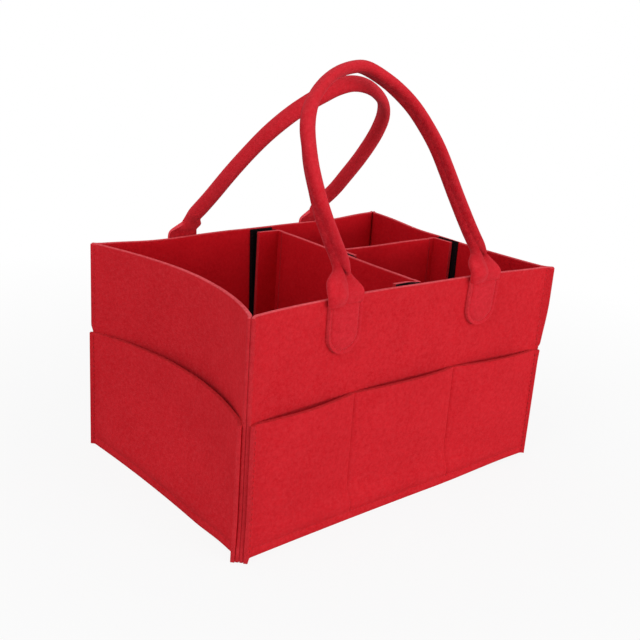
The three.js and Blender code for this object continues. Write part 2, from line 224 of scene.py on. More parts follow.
# Each handle's arch: its height, how far out from the caddy's middle its top stands, its points as shares
# of half the tabs' distance and of its height, and at shares of its length how far its seam is turned from
# straight out, in degrees, and how much of its round width it keeps. Its tabs are shifted along the wall,
# and its necks start to roll up neck_start above the crease.
HANDLES = {
    "front": SimpleNamespace(
        rise=174.9,
        setback=16.0,
        shift=2.7,
        neck_start=8.0,
        shares=[
            (-1, 0), (-0.99, 0.12), (-1.01, 0.22), (-1.03, 0.34), (-1.02, 0.48), (-0.98, 0.6),
            (-0.9, 0.72), (-0.76, 0.82), (-0.54, 0.908), (-0.31, 0.966), (-0.07, 0.994), (0.12, 0.992),
            (0.32, 0.946), (0.5, 0.882), (0.64, 0.804), (0.74, 0.707), (0.81, 0.6), (0.84, 0.48),
            (0.86, 0.36), (0.9, 0.2), (0.95, 0.09), (1, 0),
        ],
        spins=[
            (0, 38), (0.1, 65), (0.2, 115), (0.42, 180), (0.56, 240), (0.64, 265), (0.82, 285), (1, 322),
        ],
        slims=[
            (0, 1), (0.28, 0.95), (0.38, 0.68), (0.46, 0.6), (0.54, 0.72), (0.65, 0.84), (0.88, 0.9),
            (1, 1),
        ],
    ),
    "back": SimpleNamespace(
        rise=177.4,
        setback=-5.5,
        shift=-2.5,
        neck_start=3.0,
        shares=[
            (-1, 0), (-1.08, 0.1), (-1.15, 0.2), (-1.17, 0.32), (-1.18, 0.45), (-1.16, 0.58),
            (-1.11, 0.69), (-1.02, 0.79), (-0.86, 0.88), (-0.62, 0.95), (-0.39, 0.99), (-0.17, 1),
            (0, 0.975), (0.13, 0.93), (0.27, 0.87), (0.41, 0.79), (0.54, 0.68), (0.64, 0.545),
            (0.73, 0.385), (0.81, 0.2), (0.89, 0.08), (1, 0),
        ],
        spins=[
            (0, 38), (0.15, 50), (0.3, 20), (0.45, -10), (0.6, -95), (0.75, -112), (0.9, -95), (1, -38),
        ],
        slims=[
            (0, 1), (0.26, 0.97), (0.38, 0.62), (0.43, 0.64), (0.5, 0.74), (0.6, 0.8), (0.82, 0.96), (1, 1),
        ],
    ),
}


def clamp(value, low=0.0, high=1.0):
    return max(low, min(high, value))


def smooth(value):
    share = clamp(value)
    return share * share * (3 - 2 * share)


def ramp(value, start, end):
    """0 up to start, 1 from end on, and a smooth rise between them."""
    return smooth((value - start) / (end - start))


def lerp(a, b, share):
    return a + (b - a) * share


def spread(start, end, steps):
    return [start + (end - start) * i / steps for i in range(steps + 1)]


def groove(distance, width):
    """The cross-section of a soft groove, 1 at its middle."""
    return math.exp(-((distance / width) ** 2))


def between(stops, u):
    """A value from the two stops beside u."""
    for (a, value_a), (b, value_b) in zip(stops, stops[1:]):
        if u <= b:
            return lerp(value_a, value_b, smooth((u - a) / (b - a)))
    return stops[-1][1]


def placed(side, u, out, z):
    """A point by its distance along a wall, outwards from the caddy's middle, and up."""
    turn = side.turns * math.pi / 2
    c, s = round(math.cos(turn)), round(math.sin(turn))
    return Vector((u * c + out * s, u * s - out * c, z))


def bowed(side, u, z):
    """How far out a wall's seam surface lies, and how fast that changes along the wall."""
    sunk = clamp((z - PANEL) / side.settle)
    upper = clamp((z - POCKET) / (RIM - POCKET))
    bow = side.foot + (side.pocket - side.foot) * (1 - (1 - sunk) ** 2) + (side.rim - side.pocket) * upper
    lean = side.rim * side.skew * upper
    end = 1 if u > 0 else -1 if u < 0 else 0
    share = u / side.along
    curved = side.out - (1 - share**2) * (bow - lean * share)
    curved_slope = (2 * share * (bow - lean * share) + lean * (1 - share**2)) / side.along
    seam = side.out + abs(u) - side.along
    root_slope = 2 * (bow - lean * end) / side.along
    reach = (1 - root_slope) ** 2 * BEND / 2
    turned = clamp((seam - curved + reach) / (2 * reach))
    out = curved + reach * turned**2 if 0 < turned < 1 else max(curved, seam)
    return out, curved_slope + (end - curved_slope) * turned


def wall_point(side, u, z, depth):
    out, slope = bowed(side, u, z)
    length = math.hypot(1, slope)
    return placed(side, u - slope * depth / length, out + depth / length, z)


def plumb_point(side, u, z, depth):
    """A point plumb above or below the part of the wall that reaches furthest in."""
    point = wall_point(side, u, POCKET, depth)
    return Vector((point.x, point.y, z))


# How far the hems stand off the floor, at places along each wall
HEM_LIFTS = {
    "front": [(-154, 0), (40, 0), (145, 3)],
    "right": [(-104, 3), (-30, 0)],
    "back": [(-154, 0), (154, 0)],
    "left": [(50, 0), (96, 2.5), (105, 2.5), (109, 0)],
}

# How far the rims sink below their full height
RIM_DROPS = {
    "front": [(70, 0), (150, 2)],
    "right": [(-104, 2), (30, 1), (104, -3)],
    "back": [(-150, -3), (-90, 0), (20, 0), (100, 2.2), (154, 0.5)],
    "left": [(-104, 0.5), (104, 0)],
}


def settled(label, u, z):
    """A height, moved up where the hem doesn't touch the floor and down where the rim has sunk."""
    lift = between(HEM_LIFTS[label], u) * (1 - ramp(z, *HEM_LIFT_ZONE))
    return z + lift - between(RIM_DROPS[label], u) * ramp(z, *RIM_DROP_ZONE)


# Which ends of the walls are flared, by wall and by the sign of the place along it
FLARES = {("front", -1): "foot", ("left", 1): "foot", ("front", 1): "rim", ("right", -1): "rim"}


def seam_tip(side, u):
    """0 on a wall and 1 at the tip of its corner seams."""
    return smooth((abs(u) - side.along) / BEND_REACH)


def seam_sewn(side, u):
    """1 in a corner seam, where the layers are sewn together."""
    return smooth((abs(u) - side.along) / SEAM_FADE)


def off_seams(side, u):
    """1 on a wall, and 0 near its corner seams, where the felt is held still."""
    return 1 - smooth((abs(u) - side.along + STILL) / STILL_FADE)


def flared(label, u, z):
    """A place along a wall, with the tips of the front corner seams pulled out at foot and rim."""
    end = FLARES.get((label, 1 if u > 0 else -1))
    if end == "foot":
        reach = FOOT_FLARE * (1 - ramp(z, *FOOT_FLARE_ZONE))
    else:
        reach = RIM_FLARE * ramp(z, *RIM_FLARE_ZONE)
    return u + math.copysign(reach * seam_tip(WALLS[label], u), u) if end else u


def loft_share(side, u, z):
    """The felt is pressed thinner in the corner seams, most where only the two walls lie in them."""
    return lerp(1, lerp(PRESSED_LOFT, NIPPED_LOFT, ramp(z, *NIP_ZONE)), seam_sewn(side, u))


def recessed(side, u, z):
    """Beside the pockets' layers, a wall's own layer ends a little further in."""
    reach = RECESS * seam_tip(side, u) * (1 - ramp(z, *NIP_ZONE)) * ramp(z, *RECESS_ZONE)
    return u - math.copysign(reach, u)


def wall_middle(side, u, z):
    """How deep the middle of a wall's felt lies, so that two walls touch in their seam."""
    return FELT_LOFT * loft_share(side, u, z) / 2 - PRESS


CROSS_FRONT_Y = plumb_point(FRONT, CROSS_FRONT_X, 0, -FLAP_DEPTH).y
CROSS_BACK_Y = plumb_point(BACK, -CROSS_BACK_X, 0, -FLAP_DEPTH).y


def cross_x(y):
    return lerp(CROSS_FRONT_X, CROSS_BACK_X, (y - CROSS_FRONT_Y) / (CROSS_BACK_Y - CROSS_FRONT_Y))


def ripple(point, size, depth):
    """A slow unevenness of hand-cut felt, the same each time."""
    return depth * noise.noise(point / size)


# Finishes
def node(tree, kind, place, **values):
    made = tree.nodes.new(kind)
    made.location = place
    for key, value in values.items():
        setattr(made, key, value)
    return made


def set_inputs(made, values):
    for label, value in values.items():
        made.inputs[label].default_value = value


def new_group(name, outputs, **inputs):
    """An effect's tree, its given values, and its outputs in their order."""
    tree = bpy.data.node_groups.new(name, "ShaderNodeTree")
    for label, value in inputs.items():
        kind = "NodeSocketColor" if isinstance(value, tuple) else "NodeSocketFloat"
        tree.interface.new_socket(name=label, in_out="INPUT", socket_type=kind).default_value = value
    for label in outputs:
        kind = "NodeSocketColor" if label == "Colour" else "NodeSocketFloat"
        tree.interface.new_socket(name=label, in_out="OUTPUT", socket_type=kind)
    given = node(tree, "NodeGroupInput", (-1200, 0)).outputs
    return tree, given, node(tree, "NodeGroupOutput", (900, 0)).inputs


def link_all(tree, values, sockets):
    for value, socket in zip(values, sockets):
        tree.links.new(value, socket)


def coordinates(tree, kind, place=(-1200, -300)):
    return node(tree, "ShaderNodeTexCoord", place).outputs[kind]


def split(tree, place, vector):
    """The X, Y and Z of a vector."""
    made = node(tree, "ShaderNodeSeparateXYZ", place)
    tree.links.new(vector, made.inputs[0])
    return made.outputs


def math_node(tree, operation, place, a, b):
    made = node(tree, "ShaderNodeMath", place, operation=operation)
    for value, socket in zip((a, b), made.inputs):
        if isinstance(value, float):
            socket.default_value = value
        else:
            tree.links.new(value, socket)
    return made.outputs[0]


def noise_node(tree, place, vector, scale, detail=3.0, roughness=0.55, distortion=0.0):
    made = node(tree, "ShaderNodeTexNoise", place)
    values = {"Scale": scale, "Detail": detail, "Roughness": roughness, "Distortion": distortion}
    set_inputs(made, values)
    tree.links.new(vector, made.inputs["Vector"])
    return made.outputs["Fac"]


def spaced(tree, place, value, low, high, to_low, to_high):
    """A value, with its span from low to high stretched to the span from to_low to to_high."""
    made = node(tree, "ShaderNodeMapRange", place)
    set_inputs(made, {"From Min": low, "From Max": high, "To Min": to_low, "To Max": to_high})
    tree.links.new(value, made.inputs["Value"])
    return made.outputs["Result"]


def mixed(tree, place, factor, a, b):
    """A colour between a and b; the sockets are those of a colour mix."""
    made = node(tree, "ShaderNodeMix", place, data_type="RGBA")
    link_all(tree, (factor, a, b), (made.inputs[0], made.inputs[6], made.inputs[7]))
    return made.outputs[2]


# What an effect puts out for a whole surface
SURFACE = ("Colour", "Roughness", "Height")


def felt_fibres():
    """Pressed fibres: slow blotches, small mottles, a paler bloom and a crossing nap of fine hairs."""
    tree, given, out = new_group(
        "felt fibres",
        SURFACE,
        Colour=(0.6, 0.02, 0.03, 1),
        Shade=(0.4, 0.01, 0.02, 1),
        Hair=(0.8, 0.1, 0.12, 1),
        Mottle=0.5,
        Bloom=0.1,
    )
    space = coordinates(tree, "Object")
    blotch = noise_node(tree, (-900, 500), space, 30.0, 2.0)
    bloom = noise_node(tree, (-900, 300), space, 260.0, 4.0, 0.7, 0.4)
    mottle = noise_node(tree, (-900, 100), space, 400.0, 3.0, 0.6)
    fleck = noise_node(tree, (-900, -100), space, 1500.0, 2.0, 0.6, 0.6)
    hairs = []
    for index, turn in enumerate(((0.3, 0.5, 0.2), (1.2, -0.4, 0.9), (-0.7, 1.1, 2.0))):
        lay = node(tree, "ShaderNodeMapping", (-950, -300 - 220 * index))
        set_inputs(lay, {"Rotation": turn, "Scale": (1.0, 0.16, 1.0)})
        tree.links.new(space, lay.inputs["Vector"])
        hairs.append(noise_node(tree, (-700, -300 - 220 * index), lay.outputs[0], 1700.0, 1.0, 0.5, 1.4))
    crossing = math_node(tree, "MAXIMUM", (-450, -400), hairs[0], hairs[1])
    crossing = math_node(tree, "MAXIMUM", (-300, -450), crossing, hairs[2])
    hair_mask = spaced(tree, (-150, -400), crossing, 0.58, 0.76, 0.0, 0.28)
    shade_mask = spaced(tree, (-500, 150), mottle, 0.36, 0.62, 1.0, 0.0)
    shade_mask = math_node(tree, "MULTIPLY", (-350, 200), shade_mask, given["Mottle"])
    slow = spaced(tree, (-600, 500), blotch, 0.35, 0.65, 0.0, 0.26)
    shade_mask = math_node(tree, "ADD", (-200, 250), shade_mask, slow)
    fine = spaced(tree, (-500, -50), fleck, 0.5, 0.72, 0.0, 0.22)
    bloom_mask = spaced(tree, (-600, 350), bloom, 0.42, 0.68, 0.0, 1.0)
    bloom_mask = math_node(tree, "MULTIPLY", (-350, 350), bloom_mask, given["Bloom"])
    body = mixed(tree, (0, 200), shade_mask, given["Colour"], given["Shade"])
    body = mixed(tree, (150, 150), fine, body, given["Shade"])
    body = mixed(tree, (300, 150), bloom_mask, body, given["Hair"])
    body = mixed(tree, (450, 100), hair_mask, body, given["Hair"])
    rough = spaced(tree, (400, -150), mottle, 0.3, 0.7, 0.86, 0.98)
    height = math_node(tree, "MULTIPLY", (-100, -150), mottle, 0.55)
    small = math_node(tree, "MULTIPLY", (-100, -250), fleck, 0.35)
    height = math_node(tree, "ADD", (50, -150), height, small)
    lifted = math_node(tree, "MULTIPLY", (50, -350), crossing, 0.5)
    height = math_node(tree, "ADD", (200, -150), height, lifted)
    link_all(tree, (body, rough, height), out)
    return tree


def top_highlight_edge():
    """A cut edge of felt, painted by where it faces: darker on its sides, and paler where it faces up, a
    painted highlight of the light from above.
    """
    tree, given, out = new_group(
        "cut edge with painted top highlight", ("Colour",), Pressed=(0.5, 0.02, 0.03, 1), Brushed=(0.8, 0.1, 0.12, 1)
    )
    facing = split(tree, (-900, 0), coordinates(tree, "Normal", (-1100, 0)))
    upward = spaced(tree, (-600, 0), facing["Z"], 0.3, 0.85, 0.0, 1.0)
    tree.links.new(mixed(tree, (-200, 0), upward, given["Pressed"], given["Brushed"]), out["Colour"])
    return tree


def seam_shade():
    """Painted shade: the strip beside a rolled handle's seam, and the back of each foot where it lies
    against the wall, are a deeper red, standing in for the shade in the seam's groove and behind the foot.
    """
    tree, given, out = new_group(
        "seam shade", ("Colour",), Plain=(0.6, 0.02, 0.03, 1), Pressed=(0.4, 0.01, 0.02, 1), Reach=0.2
    )
    place = split(tree, (-900, 0), coordinates(tree, "UV", (-1100, 0)))
    across = math_node(tree, "PINGPONG", (-700, 100), place["X"], 0.5)
    across = math_node(tree, "DIVIDE", (-500, 100), across, given["Reach"])
    beside = spaced(tree, (-300, 100), across, 0.5, 1.0, 1.0, 0.0)
    along = math_node(tree, "PINGPONG", (-700, -100), place["Y"], 0.5)
    free = spaced(tree, (-500, -100), along, *NECK_SHARES, 0.0, 1.0)
    mask = math_node(tree, "MULTIPLY", (-100, 0), beside, free)
    foot = spaced(tree, (-500, -300), along, *FOOT_SHARES, 1.0, 0.0)
    spot = split(tree, (-900, -400), coordinates(tree, "Object", (-1100, -400)))
    facing = split(tree, (-900, -600), coordinates(tree, "Normal", (-1100, -600)))
    inward = math_node(tree, "MULTIPLY", (-700, -500), spot["Y"], facing["Y"])
    inward = spaced(tree, (-500, -500), inward, -0.08, -0.04, 1.0, 0.0)
    behind = math_node(tree, "MULTIPLY", (-300, -400), foot, inward)
    mask = math_node(tree, "MAXIMUM", (0, -100), mask, behind)
    tree.links.new(mixed(tree, (100, 0), mask, given["Plain"], given["Pressed"]), out["Colour"])
    return tree


def tape_pile():
    """Woven tape with a standing pile of loops or hooks."""
    tree, given, out = new_group(
        "tape pile",
        SURFACE,
        Colour=(0.01, 0.008, 0.009, 1),
        Tip=(0.04, 0.03, 0.034, 1),
        Pitch=900.0,
        Order=0.5,
    )
    space = coordinates(tree, "Object")
    loops = node(tree, "ShaderNodeTexVoronoi", (-900, 200))
    tree.links.new(space, loops.inputs["Vector"])
    tree.links.new(given["Pitch"], loops.inputs["Scale"])
    tree.links.new(given["Order"], loops.inputs["Randomness"])
    strands = noise_node(tree, (-900, -100), space, 2600.0, 2.0, 0.6, 1.0)
    bump = spaced(tree, (-600, 200), loops.outputs["Distance"], 0.0, 0.7, 1.0, 0.0)
    tip = math_node(tree, "MULTIPLY", (-350, 100), bump, strands)
    body = mixed(tree, (0, 100), tip, given["Colour"], given["Tip"])
    rough = spaced(tree, (0, -150), strands, 0.3, 0.7, 0.7, 0.95)
    loose = math_node(tree, "MULTIPLY", (-200, -300), strands, 0.4)
    height = math_node(tree, "ADD", (0, -300), bump, loose)
    link_all(tree, (body, rough, height), out)
    return tree


def thread_lay():
    """The twist of a sewing thread or of a soft cotton cord."""
    tree, given, out = new_group(
        "thread lay", SURFACE, Colour=(0.6, 0.03, 0.04, 1), Valley=(0.3, 0.01, 0.015, 1), Pitch=1400.0
    )
    space = coordinates(tree, "Object")
    twist = node(tree, "ShaderNodeTexWave", (-800, 100), wave_type="BANDS", bands_direction="DIAGONAL")
    set_inputs(twist, {"Distortion": 2.0, "Detail": 2.0})
    tree.links.new(space, twist.inputs["Vector"])
    tree.links.new(given["Pitch"], twist.inputs["Scale"])
    fuzz = noise_node(tree, (-800, -200), space, 2400.0, 2.0)
    body = mixed(tree, (0, 100), twist.outputs["Fac"], given["Valley"], given["Colour"])
    rough = spaced(tree, (0, -150), fuzz, 0.3, 0.7, 0.55, 0.8)
    loose = math_node(tree, "MULTIPLY", (-200, -350), fuzz, 0.5)
    height = math_node(tree, "ADD", (0, -300), twist.outputs["Fac"], loose)
    link_all(tree, (body, rough, height), out)
    return tree


def finish(name, effect, values, strength, distance, sheen=0.0, tint=(1, 1, 1, 1)):
    """A material of an effect with its values, a bump's strength and depth, and a sheen of fine hairs."""
    made = bpy.data.materials.new(name)
    made.use_nodes = True
    tree = made.node_tree
    shader = tree.nodes["Principled BSDF"]
    lay = node(tree, "ShaderNodeGroup", (-500, 0), name="lay")
    lay.node_tree = effect
    set_inputs(lay, values)
    bump = node(tree, "ShaderNodeBump", (-250, -250))
    set_inputs(bump, {"Strength": strength, "Distance": distance})
    tree.links.new(lay.outputs["Colour"], shader.inputs["Base Color"])
    tree.links.new(lay.outputs["Roughness"], shader.inputs["Roughness"])
    tree.links.new(lay.outputs["Height"], bump.inputs["Height"])
    tree.links.new(bump.outputs["Normal"], shader.inputs["Normal"])
    shader.inputs["Specular IOR Level"].default_value = 0.02
    shader.inputs["Sheen Weight"].default_value = sheen
    shader.inputs["Sheen Roughness"].default_value = 0.5
    shader.inputs["Sheen Tint"].default_value = tint
    return made


def coloured_by(made, effect, **values):
    """Puts a group in front of a finish's colour."""
    tree = made.node_tree
    front = node(tree, "ShaderNodeGroup", (-800, 0))
    front.node_tree = effect
    set_inputs(front, values)
    tree.links.new(front.outputs["Colour"], tree.nodes["lay"].inputs["Colour"])
    return made


FIBRES = felt_fibres()
TOP_HIGHLIGHT_EDGE = top_highlight_edge()
SEAM_SHADE = seam_shade()
PILE = tape_pile()
LAY = thread_lay()
FELT_BUMP = 0.0007
CUT_BUMP = 0.0008
TAPE_BUMP = 0.0006
THREAD_BUMP = 0.0002
FELT_VALUES = {
    "Colour": (0.61, 0.0155, 0.024, 1),
    "Shade": (0.49, 0.008, 0.014, 1),
    "Hair": (0.74, 0.07, 0.085, 1),
    "Mottle": 0.5,
    "Bloom": 0.14,
}
# A deeper, more saturated red for the felt's inner sides and the dividers: painted shade for the dim,
# red-lit inside of the caddy.
SHADED_INNER_VALUES = {
    "Colour": (0.6, 0.008, 0.015, 1),
    "Shade": (0.48, 0.003, 0.008, 1),
    "Hair": (0.7, 0.03, 0.04, 1),
    "Mottle": 0.5,
    "Bloom": 0.1,
}
CUT_VALUES = {
    "Shade": (0.44, 0.012, 0.018, 1),
    "Hair": (0.72, 0.07, 0.083, 1),
    "Mottle": 0.4,
    "Bloom": 0.16,
}
BLACK = (0.006, 0.004, 0.005, 1)
LOOP_VALUES = {"Colour": BLACK, "Tip": (0.03, 0.02, 0.023, 1), "Pitch": 1100.0, "Order": 1.0}
HOOK_VALUES = {"Colour": BLACK, "Tip": (0.05, 0.04, 0.042, 1), "Pitch": 620.0, "Order": 0.15}
RED_THREAD = {"Colour": (0.66, 0.035, 0.046, 1), "Valley": (0.5, 0.012, 0.02, 1), "Pitch": 1500.0}
BLACK_THREAD = {"Colour": (0.03, 0.02, 0.022, 1), "Valley": BLACK, "Pitch": 1500.0}
COTTON_CORD = {"Colour": (0.68, 0.6, 0.5, 1), "Valley": (0.4, 0.34, 0.27, 1), "Pitch": 300.0}


# A cut edge's material, painted by where it faces: a paler painted highlight where it faces up.
def cut_finish(name, pressed, top_highlight):
    made = finish(name, FIBRES, CUT_VALUES, 0.7, CUT_BUMP, 0.05, (1, 0.35, 0.37, 1))
    return coloured_by(made, TOP_HIGHLIGHT_EDGE, Pressed=pressed, Brushed=top_highlight)


felt_face = finish("red felt", FIBRES, FELT_VALUES, 0.45, FELT_BUMP, 0.03, (1, 0.3, 0.32, 1))
shaded_inner_face = finish("red felt with painted inside shade", FIBRES, SHADED_INNER_VALUES, 0.6, FELT_BUMP)
# A handle's felt, with painted shade: a deeper red beside its seam and on the back of each foot.
strip_face = coloured_by(
    finish("red felt of a handle", FIBRES, FELT_VALUES, 0.5, FELT_BUMP, 0.16, (1, 0.4, 0.48, 1)),
    SEAM_SHADE,
    Plain=(0.63, 0.017, 0.029, 1),
    Pressed=(0.32, 0.003, 0.009, 1),
    Reach=0.27,
)

# Cut edges: a pale painted highlight on top of the rims, almost none on the pockets' edges, and a handle's
# raw edges painted pale all round as a highlight along them.
rim_cut = cut_finish("cut rim of red felt", (0.56, 0.02, 0.029, 1), (0.84, 0.12, 0.14, 1))
pocket_cut = cut_finish("cut pocket edge of red felt", (0.56, 0.019, 0.028, 1), (0.58, 0.022, 0.03, 1))
strip_cut = cut_finish("cut strip edge of red felt", (0.8, 0.058, 0.078, 1), (0.86, 0.09, 0.115, 1))
loop_pile = finish("black loop tape", PILE, LOOP_VALUES, 0.9, TAPE_BUMP)
hook_pile = finish("black hook tape", PILE, HOOK_VALUES, 0.9, TAPE_BUMP)
red_thread = finish("red thread", LAY, RED_THREAD, 0.5, THREAD_BUMP, 0.1)
black_thread = finish("black thread", LAY, BLACK_THREAD, 0.5, THREAD_BUMP)
cotton = finish("soft cotton cord", LAY, COTTON_CORD, 0.8, TAPE_BUMP)


# Making and joining pieces
def finished_mesh(name, shape):
    """The mesh of a finished shape, with smooth faces."""
    for face in shape.faces:
        face.smooth = True
    mesh = bpy.data.meshes.new(name)
    shape.to_mesh(mesh)
    shape.free()
    return mesh


def new_object(name, data):
    made = bpy.data.objects.new(name, data)
    bpy.context.scene.collection.objects.link(made)
    return made


def new_piece(name, mesh, slot, *materials):
    piece = new_object(name, mesh)
    for material in materials:
        mesh.materials.append(material)
    return piece


def sheet_mesh(name, columns, rows, point, cut_away=None, pressed=None):
    """A grid whose corners are moved to point(column, row), in millimetres, without the faces cut away.

    pressed(column, row) is a corner's share of the felt's full thickness, kept in the first vertex group.
    """
    grid = bmesh.new()
    wide, high = len(columns) - 1, len(rows) - 1
    grid.loops.layers.uv.new("UVMap")
    bmesh.ops.create_grid(grid, x_segments=wide, y_segments=high, size=0.5, calc_uvs=True)
    if cut_away:
        extra = []
        for face in grid.faces:
            middle = face.calc_center_median()
            if cut_away(math.floor((middle.x + 0.5) * wide), math.floor((middle.y + 0.5) * high)):
                extra.append(face)
        bmesh.ops.delete(grid, geom=extra, context="FACES")
    loft = grid.verts.layers.deform.verify() if pressed else None
    for corner in grid.verts:
        i = round((corner.co.x + 0.5) * wide)
        j = round((corner.co.y + 0.5) * high)
        corner.co = Vector(point(columns[i], rows[j])) * MM
        if pressed:
            corner[loft][0] = pressed(columns[i], rows[j])
    return finished_mesh(name, grid)


def thicken(piece, thickness, edge=EDGE_SOFTNESS, even=True, inner=0):
    """Gives a sheet its thickness and softly rounded cut edges; inner is its back's material, by index."""
    solid = piece.modifiers.new("thickness", "SOLIDIFY")
    solid.thickness = thickness * MM
    solid.offset = 0.0
    solid.use_even_offset = even
    solid.material_offset_rim = 1
    solid.material_offset = inner
    soft = piece.modifiers.new("worn edges", "BEVEL")
    soft.width = edge * MM
    soft.segments = 3
    soft.limit_method = "ANGLE"
    soft.angle_limit = math.radians(50)
    soft.harden_normals = False
    soft.material = 1
    return piece


def felt_sheet(name, columns, rows, point, face=felt_face, edge=rim_cut, side=None):
    """A sheet of felt, pressed thinner in the corner seams of the side it is given."""
    pressed = (lambda u, z: loft_share(side, u, z)) if side else None
    mesh = sheet_mesh(name, columns, rows, point, pressed=pressed)
    # The sheet's back takes the felt with painted inside shade.
    piece = new_piece(name, mesh, "felt", face, edge, shaded_inner_face)
    thicken(piece, FELT_LOFT, inner=2)
    if pressed:
        piece.vertex_groups.new(name="loft")
        piece.modifiers["thickness"].vertex_group = "loft"
        piece.modifiers["thickness"].thickness_vertex_group = 0.0
    return piece


def seam_columns(side, middle):
    """Columns along a wall or pocket, close together where it turns out into its corner seams."""
    tip = side.along + TIP_REACH
    edge = side.along - BEND_REACH
    return [*spread(-tip, -edge, 9)[:-1], *middle(edge), *spread(edge, tip, 9)[1:]]


def stitch_row(name, places, body, thread=red_thread, stitch=STITCH):
    """A row of stitches along places, a list of (point, outward normal) in millimetres."""
    seam = bmesh.new()
    size = Matrix.Diagonal((stitch["length"] / 2, stitch["width"] / 2, stitch["height"], 1))
    run = 0.0
    goal = stitch["pitch"] / 2
    for (a, normal), (b, _) in zip(places, places[1:]):
        step = (b - a).length
        while step > 0 and run + step >= goal:
            middle = a.lerp(b, (goal - run) / step)
            heading = (b - a).normalized()
            across = normal.cross(heading).normalized()
            rise = heading.cross(across)
            turn = Matrix((heading, across, rise)).transposed().to_4x4()
            spot = Matrix.Translation(middle * MM) @ turn @ size @ Matrix.Diagonal((MM, MM, MM, 1))
            bmesh.ops.create_uvsphere(seam, u_segments=6, v_segments=4, radius=1.0, matrix=spot)
            goal += stitch["pitch"]
        run += step
    bmesh.ops.recalc_face_normals(seam, faces=seam.faces)
    slot = "closure_tape" if thread is black_thread else "felt"
    piece = new_piece(name, finished_mesh(name, seam), slot, thread)
    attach(piece, body)
    return piece


def on_wall(side, u, z, depth):
    """A point on a wall's layer, with the outward normal there."""
    point = wall_point(side, u, z, depth)
    return point, (wall_point(side, u, z, depth + 1) - point).normalized()


# The four walls, with rows closer together at the foot and above the pockets
WALL_ROWS = [*spread(0, 20, 6), *spread(20, 100, 18)[1:], *spread(100, 112, 6)[1:]]
WALL_ROWS += spread(112, RIM, 16)[1:]
for label, side in WALLS.items():
    steps = 64 if side in (FRONT, BACK) else 48
    wall_columns = seam_columns(side, lambda edge: spread(-edge, edge, steps))

    def wall_face(u, z, side=side, label=label):
        reach = recessed(side, flared(label, u, z), z)
        point = wall_point(side, reach, settled(label, u, z), wall_middle(side, u, z))
        inner = off_seams(side, u)
        wave = ripple(point, *WALL_WAVE) * inner * ramp(z, *WALL_WAVE_ZONE)
        rise = ripple(point + RIM_SHIFT, *RIM_WAVE) * ramp(z, *RIM_WAVE_ZONE) * inner
        return point + placed(side, 0, min(wave, 0.0), rise)

    wall_felt = felt_sheet(f"{label}_wall_felt", wall_columns, WALL_ROWS, wall_face, side=side)
    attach(wall_felt, "caddy")
    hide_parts(f"{label}_wall")


# The pockets, sewn down at the hem, at the corner seams and between the cells
def stand_off(stops, bulge, u, z):
    """How far a pocket stands off its wall between the seams at stops."""
    for start, end in zip(stops, stops[1:]):
        if start < u <= end:
            across = (u - start) / (end - start)
            closed = 1 - clamp((z - HEM) / SLACK_RISE)
            return bulge * 4 * across * (1 - across) * (1 - closed**2)
    return 0.0


POCKET_ROWS = [0, 1.2, 2.4, 3.6, 4.8, HEM, 7.2, 8.6, *spread(11, 101, 26), 102.2, POCKET]
for label, side in WALLS.items():
    long_side = side in (FRONT, BACK)
    divisions = [-CELL, CELL] if long_side else []
    bulge = CELL_SLACK if long_side else END_SLACK
    edge = side.along - BEND_REACH
    stops = [-edge, *divisions, edge]
    middle = [-edge]
    for start, end in zip(stops, stops[1:]):
        run = spread(start, end, 30 if long_side else 52)[1:]
        middle += [start + 0.8, start + 1.8, *run[:-1], end - 1.8, end - 0.8, end]
    middle = sorted(set(middle))
    pocket_columns = seam_columns(side, lambda edge: middle)

    def pocket_face(u, z, side=side, stops=stops, bulge=bulge, divisions=divisions, label=label):
        off = stand_off(stops, bulge, u, z)
        inside = smooth((side.along - abs(u)) / HEM_FADE)
        pull = HEM_PULL * inside * groove(z - HEM, HEM_GROOVE)
        pull -= HEM_PULL * ROLL_PUSH * inside * groove(z - ROLL_HEIGHT, ROLL_WIDTH)
        for division in divisions:
            pull += DIVISION_PULL * groove(u - division, DIVISION_GROOVE) * ramp(z, *DIVISION_ZONE)
        depth = OUTER_MIDDLE + off - pull - SEWN_CLOSE * seam_sewn(side, u)
        point = wall_point(side, flared(label, u, z), settled(label, u, z), depth)
        inner = off_seams(side, u)
        wave = ripple(point, *POCKET_WAVE) * inner * ramp(off, *LOOSE_ZONE)
        rise = ripple(point + POCKET_SHIFT, *POCKET_EDGE_WAVE) * ramp(z, *POCKET_EDGE_ZONE) * inner
        return point + placed(side, 0, wave, rise)

    name = f"{label}_pocket_felt"
    pocket_felt = felt_sheet(name, pocket_columns, POCKET_ROWS, pocket_face, edge=pocket_cut, side=side)
    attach(pocket_felt, "caddy")
    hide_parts(f"{label}_pocket")

    def sewn_in(u, z, pull, side=side, label=label):
        """A stitch's place in a groove of the pocket, with the outward normal there."""
        return on_wall(side, u, settled(label, u, z), OUTER_FACE - pull + STITCH_LIFT)

    hem_path = [sewn_in(u, HEM, HEM_PULL) for u in spread(-edge, edge, 90)]
    stitch_row(f"{label}_hem_stitches", hem_path, "caddy")
    for name, u in zip(("left", "right"), divisions):
        path = [sewn_in(u, z, DIVISION_PULL) for z in spread(HEM + 2, POCKET - 1, 40)]
        stitch_row(f"{label}_pocket_{name}_stitches", path, "caddy")
    for name, sign in (("left", -1), ("right", 1)):
        u = sign * (side.along + BEND_REACH * SEAM_STITCH_SHARE)
        low = [on_wall(side, u, z, OUTER_FACE) for z in spread(4, POCKET - 1, 50)]
        high = [on_wall(side, u, z, 2 * wall_middle(side, u, z)) for z in spread(POCKET + 3, RIM - 4, 40)]
        for half, path in (("lower", low), ("upper", high)):
            stitch_row(f"{label}_{name}_seam_{half}_stitches", path, "caddy", stitch=SEAM_STITCH)


